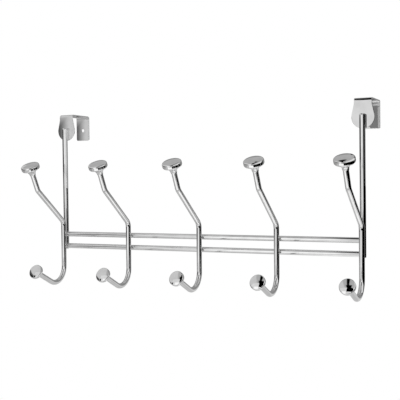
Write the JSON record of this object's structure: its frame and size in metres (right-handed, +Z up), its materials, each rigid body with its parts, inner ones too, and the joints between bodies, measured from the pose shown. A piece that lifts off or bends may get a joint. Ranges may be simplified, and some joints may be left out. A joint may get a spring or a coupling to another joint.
{
  "type": "over door hook rack",
  "caption": "Chrome over-door rack: folded door brackets, a frame of welded rods, and bent-wire double hooks with round knobs on both ends.",
  "frame": {"origin": "midway between the two brackets, on the front top edge of the door that the rack hangs on", "axes": "+X along the rails, +Y from the room into the door, +Z up"},
  "size_m": [0.4264, 0.1279, 0.2234],
  "materials": {
    "bracket": "bright plated sheet steel",
    "frame": "bright plated steel rod",
    "wire": "bright plated steel wire",
    "knob": "bright plated turned metal"
  },
  "bodies": {
    "root": {"bracket_left": "bracket", "upright_left": "frame", "bracket_right": "bracket", "upright_right": "frame", "rail_upper": "frame", "rail_lower": "frame", "hook_1": "wire", "upper_knob_1": "knob", "lower_knob_1": "knob", "hook_2": "wire", "upper_knob_2": "knob", "lower_knob_2": "knob", "hook_3": "wire", "upper_knob_3": "knob", "lower_knob_3": "knob", "hook_4": "wire", "upper_knob_4": "knob", "lower_knob_4": "knob", "hook_5": "wire", "upper_knob_5": "knob", "lower_knob_5": "knob"}
  },
  "joints": []
}
